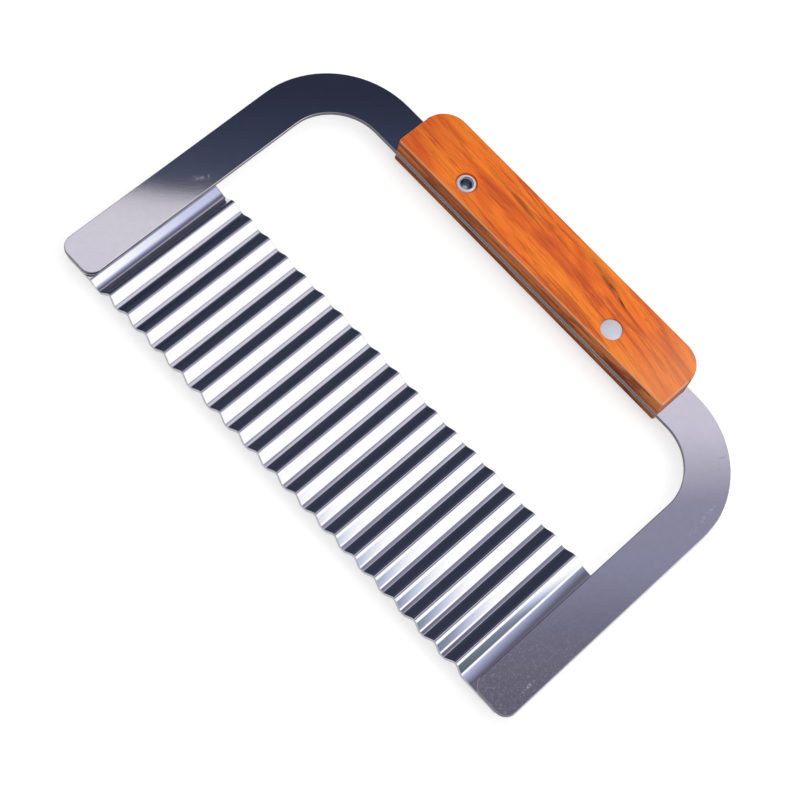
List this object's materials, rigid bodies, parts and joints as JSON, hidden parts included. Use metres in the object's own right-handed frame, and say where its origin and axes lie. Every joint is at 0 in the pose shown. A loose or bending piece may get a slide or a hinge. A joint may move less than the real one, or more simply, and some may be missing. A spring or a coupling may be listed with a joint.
{
  "type": "soap cutter",
  "caption": "Soap cutter with a corrugated steel blade held across the legs of a flat C-shaped frame, under a slotted and riveted wooden grip.",
  "frame": {"origin": "centre of the outer box along X and Y, on the plane that the grip's back face rests on", "axes": "+X along the blade from left to right, +Y from the cutting edge to the grip, +Z out of the front of the frame, towards a viewer who sees the blade in front of the legs' backs"},
  "size_m": [0.19, 0.121, 0.0115],
  "materials": {
    "frame_steel": "polished stainless sheet with fine speckle and faint scratches",
    "blade_steel": "bright polished stainless sheet",
    "grip_wood": "orange-brown hardwood, oiled to a low sheen",
    "rivet_metal": "satin"
  },
  "bodies": {
    "root": {"frame": "frame_steel", "wavy_blade": "blade_steel", "grip": "grip_wood", "rivet_left": "rivet_metal", "rivet_right": "rivet_metal"}
  },
  "joints": []
}
